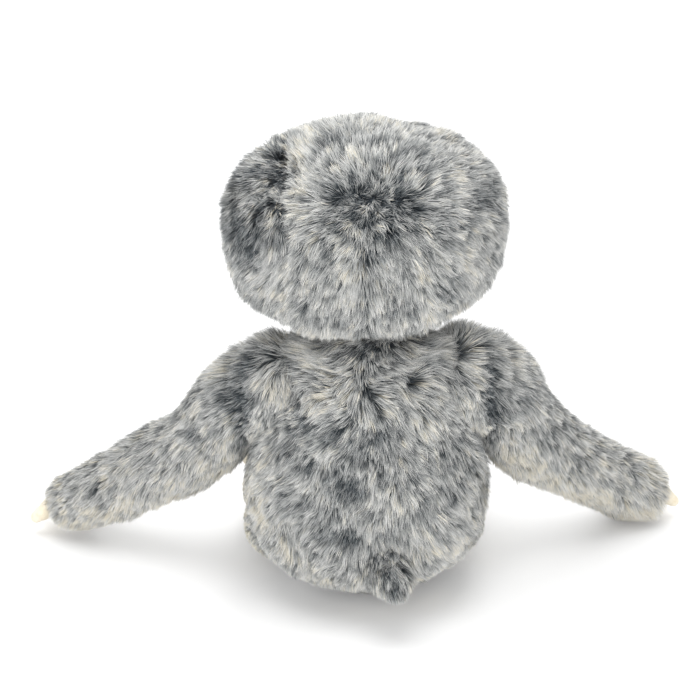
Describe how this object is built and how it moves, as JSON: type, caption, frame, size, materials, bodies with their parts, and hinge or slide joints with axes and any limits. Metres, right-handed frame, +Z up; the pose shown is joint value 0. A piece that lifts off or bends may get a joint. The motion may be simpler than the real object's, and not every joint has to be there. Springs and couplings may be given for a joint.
{
  "type": "plush sloth",
  "caption": "Sitting stuffed sloth in long frosted grey fur, with a big round head, long arms resting on the ground, blunt claws and a stub tail; head, arms, legs and tail turn at their seams.",
  "frame": {"origin": "middle of the flat under the seat, on the ground that the toy sits on", "axes": "+Z up, the face looks along -Y, +X is the sloth's own left side; its arms span X"},
  "size_m": [0.3545, 0.196, 0.251],
  "materials": {
    "grey_fur": "frosted long-pile fur, dark slate roots and silvery beige tips",
    "cream_plush": "short cream pile",
    "dark_plush": "short dark brown pile",
    "black_plastic": "glossy black",
    "brown_satin": "brown satin stitch",
    "clear_plastic": "milky locking washer",
    "cream_suede": "cream microsuede, stuffed",
    "white_fibre": "loose white polyester fibre",
    "pellet_cloth": "thin woven bag of plastic pellets",
    "cotton_lining": "plain woven cotton",
    "dark_thread": "dark embroidery thread"
  },
  "bodies": {
    "torso": {"torso_cover": "grey_fur", "belly_panel": "cream_plush", "torso_stuffing": "white_fibre", "pellet_bag": "pellet_cloth"},
    "neck": {"neck_patch": "cotton_lining"},
    "head": {"head_cover": "grey_fur", "face_panel": "cream_plush", "head_stuffing": "white_fibre", "left_eye_patch": "dark_plush", "right_eye_patch": "dark_plush", "left_eye": "black_plastic", "right_eye": "black_plastic", "left_eye_washer": "clear_plastic", "right_eye_washer": "clear_plastic", "muzzle": "cream_plush", "nose": "brown_satin", "mouth_stitching": "dark_thread"},
    "left_shoulder": {"left_shoulder_patch": "cotton_lining"},
    "right_shoulder": {"right_shoulder_patch": "cotton_lining"},
    "left_arm": {"left_arm_cover": "grey_fur", "left_arm_stuffing": "white_fibre", "left_hand_claw_1": "cream_suede", "left_hand_claw_2": "cream_suede", "left_hand_claw_3": "cream_suede"},
    "right_arm": {"right_arm_cover": "grey_fur", "right_arm_stuffing": "white_fibre", "right_hand_claw_1": "cream_suede", "right_hand_claw_2": "cream_suede", "right_hand_claw_3": "cream_suede"},
    "left_leg": {"left_leg_cover": "grey_fur", "left_leg_stuffing": "white_fibre", "left_hip_patch": "cotton_lining", "left_foot_claw_1": "cream_suede", "left_foot_claw_2": "cream_suede", "left_foot_claw_3": "cream_suede"},
    "right_leg": {"right_leg_cover": "grey_fur", "right_leg_stuffing": "white_fibre", "right_hip_patch": "cotton_lining", "right_foot_claw_1": "cream_suede", "right_foot_claw_2": "cream_suede", "right_foot_claw_3": "cream_suede"},
    "tail": {"tail": "grey_fur"}
  },
  "joints": [
    {"name": "neck_turn", "type": "hinge", "parent": "torso", "child": "neck", "pos_m": [0, -0.002, 0.116], "axis": [0, 0, 1], "range_deg": [-30, 30], "stiffness_Nm_per_rad": 0.35},
    {"name": "head_nod", "type": "hinge", "parent": "neck", "child": "head", "pos_m": [0, -0.002, 0.116], "axis": [1, 0, 0], "range_deg": [-12, 12], "stiffness_Nm_per_rad": 0.8},
    {"name": "left_arm_swing", "type": "hinge", "parent": "torso", "child": "left_shoulder", "pos_m": [0.0451, -0.005, 0.11], "axis": [0, 0, -1], "range_deg": [-45, 20], "stiffness_Nm_per_rad": 0.06},
    {"name": "left_arm_lift", "type": "hinge", "parent": "left_shoulder", "child": "left_arm", "pos_m": [0.0451, -0.005, 0.11], "axis": [-0.5736, -0.8192, 0], "range_deg": [0, 42], "stiffness_Nm_per_rad": 0.04},
    {"name": "right_arm_swing", "type": "hinge", "parent": "torso", "child": "right_shoulder", "pos_m": [-0.0451, -0.005, 0.11], "axis": [0, 0, 1], "range_deg": [-45, 20], "stiffness_Nm_per_rad": 0.06},
    {"name": "right_arm_lift", "type": "hinge", "parent": "right_shoulder", "child": "right_arm", "pos_m": [-0.0451, -0.005, 0.11], "axis": [-0.6018, 0.7986, 0], "range_deg": [0, 42], "stiffness_Nm_per_rad": 0.04},
    {"name": "left_leg_lift", "type": "hinge", "parent": "torso", "child": "left_leg", "pos_m": [0.044, -0.03184, 0.026], "axis": [-1, 0, 0], "range_deg": [-5, 20], "stiffness_Nm_per_rad": 0.25},
    {"name": "right_leg_lift", "type": "hinge", "parent": "torso", "child": "right_leg", "pos_m": [-0.044, -0.03184, 0.026], "axis": [-1, 0, 0], "range_deg": [-5, 20], "stiffness_Nm_per_rad": 0.25},
    {"name": "tail_lift", "type": "hinge", "parent": "torso", "child": "tail", "pos_m": [-0.007, 0.04959, 0.035], "axis": [1, 0, 0], "range_deg": [-10, 25], "stiffness_Nm_per_rad": 0.02}
  ]
}
